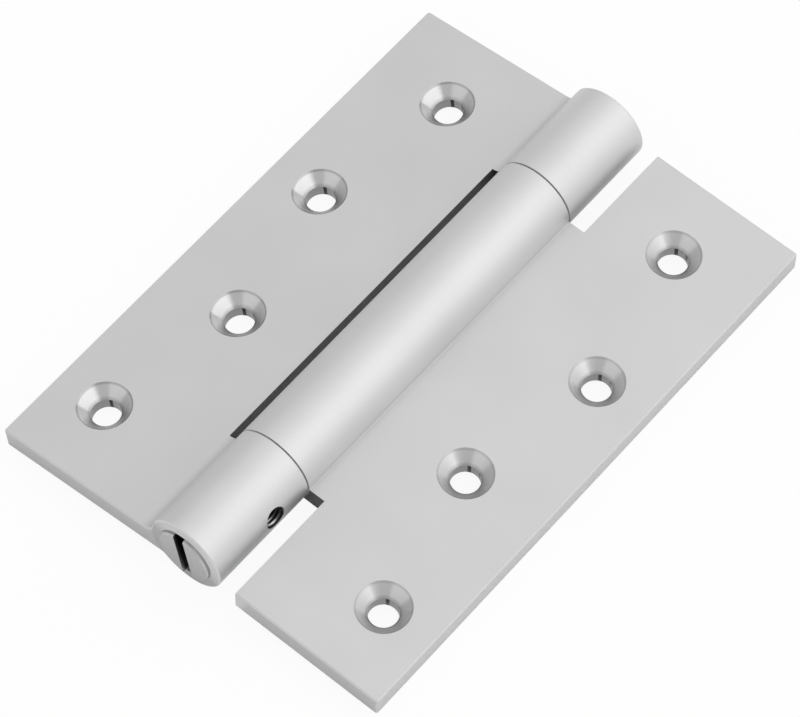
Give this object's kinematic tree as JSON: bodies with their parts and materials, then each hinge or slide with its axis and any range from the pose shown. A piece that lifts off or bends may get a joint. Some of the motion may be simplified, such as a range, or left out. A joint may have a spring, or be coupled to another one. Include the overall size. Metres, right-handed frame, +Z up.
{
  "type": "spring hinge",
  "caption": "Self-closing spring hinge with flat countersunk leaves on a thick round barrel, which has a slotted tension spindle in its end and a lock screw in its side.",
  "frame": {"origin": "on the surface that the open hinge lies on, under the middle of the barrel", "axes": "+Y along the barrel, from the slotted spindle's end to the plain end; +X from the frame leaf to the door leaf; +Z up, out of the countersunk faces"},
  "size_m": [0.0938, 0.1278, 0.017],
  "materials": {
    "leaf_aluminium": "satin silver anodised extrusion with fine die lines along the barrel",
    "plated_steel": "zinc-plated turned steel",
    "turned_steel": "plain turned steel, oiled",
    "spring_steel": "dark oiled spring wire",
    "bush_bronze": "sintered bronze",
    "washer_plastic": "dark acetal"
  },
  "bodies": {
    "frame": {"frame_leaf": "leaf_aluminium", "lock_screw": "plated_steel", "pivot_pin": "plated_steel", "lower_thrust_washer": "washer_plastic", "upper_thrust_washer": "washer_plastic"},
    "door": {"door_leaf": "leaf_aluminium", "lower_bush": "bush_bronze", "upper_bush": "bush_bronze", "spring_anchor": "turned_steel", "anchor_pin": "turned_steel", "torsion_spring": "spring_steel"},
    "tensioner": {"tension_spindle": "plated_steel"}
  },
  "joints": [
    {"name": "door_swing", "type": "hinge", "parent": "frame", "child": "door", "pos_m": [0, 0, 0.0085], "axis": [0, -1, 0], "range_deg": [0, 187], "stiffness_Nm_per_rad": 0.3, "deforming": ["torsion_spring"]},
    {"name": "spindle_turn", "type": "hinge", "parent": "frame", "child": "tensioner", "pos_m": [0, 0, 0.0085], "axis": [0, -1, 0], "range_deg": [0, 270], "deforming": ["torsion_spring"]}
  ]
}
